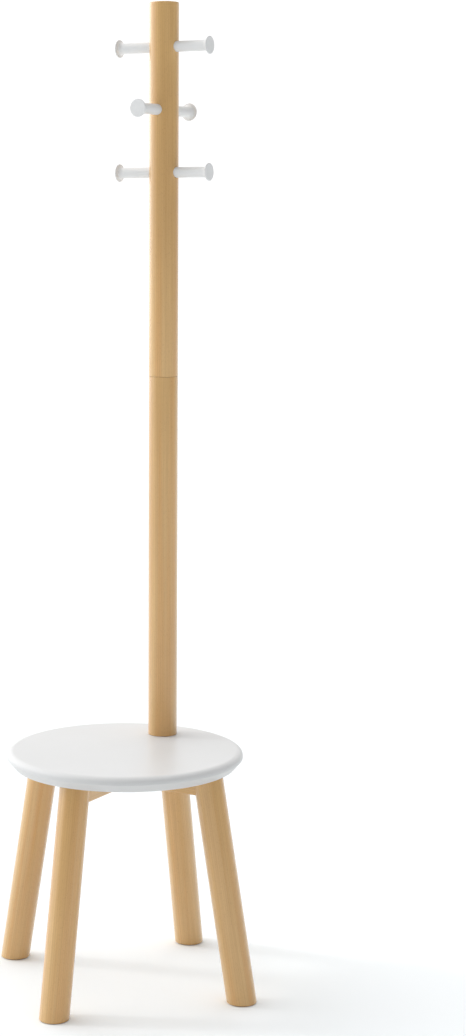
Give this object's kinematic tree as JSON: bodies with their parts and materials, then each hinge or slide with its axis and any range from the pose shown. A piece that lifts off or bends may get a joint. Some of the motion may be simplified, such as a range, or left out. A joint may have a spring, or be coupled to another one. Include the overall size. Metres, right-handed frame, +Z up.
{
  "type": "coat rack with stool",
  "caption": "Coat rack and stool in one: a round white seat on splayed round wooden legs, with a tall round wooden pole at its back that carries white pegs near the top.",
  "frame": {"origin": "on the floor, under the middle of the round seat", "axes": "+Z up along the pole, +Y towards the pole at the back of the seat, +X to the right of someone who faces the pole"},
  "size_m": [0.5032, 0.5032, 1.654],
  "materials": {
    "beech": "clear satin lacquer on light honey beech",
    "white_lacquer": "wood under satin white lacquer",
    "zinc_steel": "bright zinc plating",
    "felt": "pressed grey-brown felt"
  },
  "bodies": {
    "root": {"beam_front_back": "beech", "beam_left_right": "beech", "foot_dowel": "beech", "foot_sleeve": "zinc_steel", "glide_back": "felt", "glide_front": "felt", "glide_left": "felt", "glide_right": "felt", "join_sleeve_lower": "zinc_steel", "join_sleeve_upper": "zinc_steel", "join_stud": "zinc_steel", "leg_back": "beech", "leg_front": "beech", "leg_left": "beech", "leg_right": "beech", "lower_pole": "beech", "peg_lower_left": "white_lacquer", "peg_lower_right": "white_lacquer", "peg_middle_back": "white_lacquer", "peg_middle_front": "white_lacquer", "peg_sleeve_lower_left": "zinc_steel", "peg_sleeve_lower_right": "zinc_steel", "peg_sleeve_middle_back": "zinc_steel", "peg_sleeve_middle_front": "zinc_steel", "peg_sleeve_upper_left": "zinc_steel", "peg_sleeve_upper_right": "zinc_steel", "peg_stud_lower_left": "zinc_steel", "peg_stud_lower_right": "zinc_steel", "peg_stud_middle_back": "zinc_steel", "peg_stud_middle_front": "zinc_steel", "peg_stud_upper_left": "zinc_steel", "peg_stud_upper_right": "zinc_steel", "peg_upper_left": "white_lacquer", "peg_upper_right": "white_lacquer", "pole_bolt": "zinc_steel", "pole_washer": "zinc_steel", "seat": "white_lacquer", "seat_bolt_back": "zinc_steel", "seat_bolt_centre": "zinc_steel", "seat_bolt_front": "zinc_steel", "seat_bolt_left": "zinc_steel", "seat_bolt_right": "zinc_steel", "seat_sleeve_back": "zinc_steel", "seat_sleeve_centre": "zinc_steel", "seat_sleeve_front": "zinc_steel", "seat_sleeve_left": "zinc_steel", "seat_sleeve_right": "zinc_steel", "seat_washer_back": "zinc_steel", "seat_washer_centre": "zinc_steel", "seat_washer_front": "zinc_steel", "seat_washer_left": "zinc_steel", "seat_washer_right": "zinc_steel", "upper_pole": "beech"}
  },
  "joints": []
}
